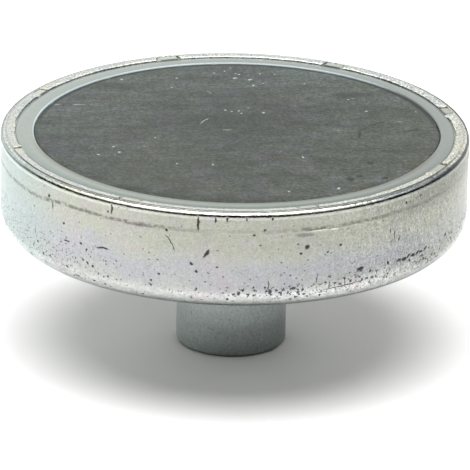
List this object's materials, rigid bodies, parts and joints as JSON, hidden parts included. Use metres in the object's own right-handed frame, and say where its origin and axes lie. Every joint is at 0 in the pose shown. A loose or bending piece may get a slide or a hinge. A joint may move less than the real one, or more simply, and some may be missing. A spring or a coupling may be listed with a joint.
{
  "type": "pot magnet",
  "caption": "Shallow round pot magnet on a threaded stem: a ferrite disc in a steel cup whose rim is crimped over a spacer ring.",
  "frame": {"origin": "centre of the stem's end face, which the part stands on", "axes": "+Z along the axis, out of the magnetic face; X and Y are square to it, and the part looks the same from every side but for its crimped lips"},
  "size_m": [0.063, 0.063, 0.03],
  "materials": {
    "zinc_plated_cup": "satin",
    "zinc_plated_stem": "satin",
    "ferrite": "matte",
    "ring_plastic": "satin",
    "adhesive": "satin"
  },
  "bodies": {
    "root": {"pot_housing": "zinc_plated_cup", "threaded_bush": "zinc_plated_stem", "ferrite_magnet": "ferrite", "spacer_ring": "ring_plastic", "adhesive_bed": "adhesive"}
  },
  "joints": []
}
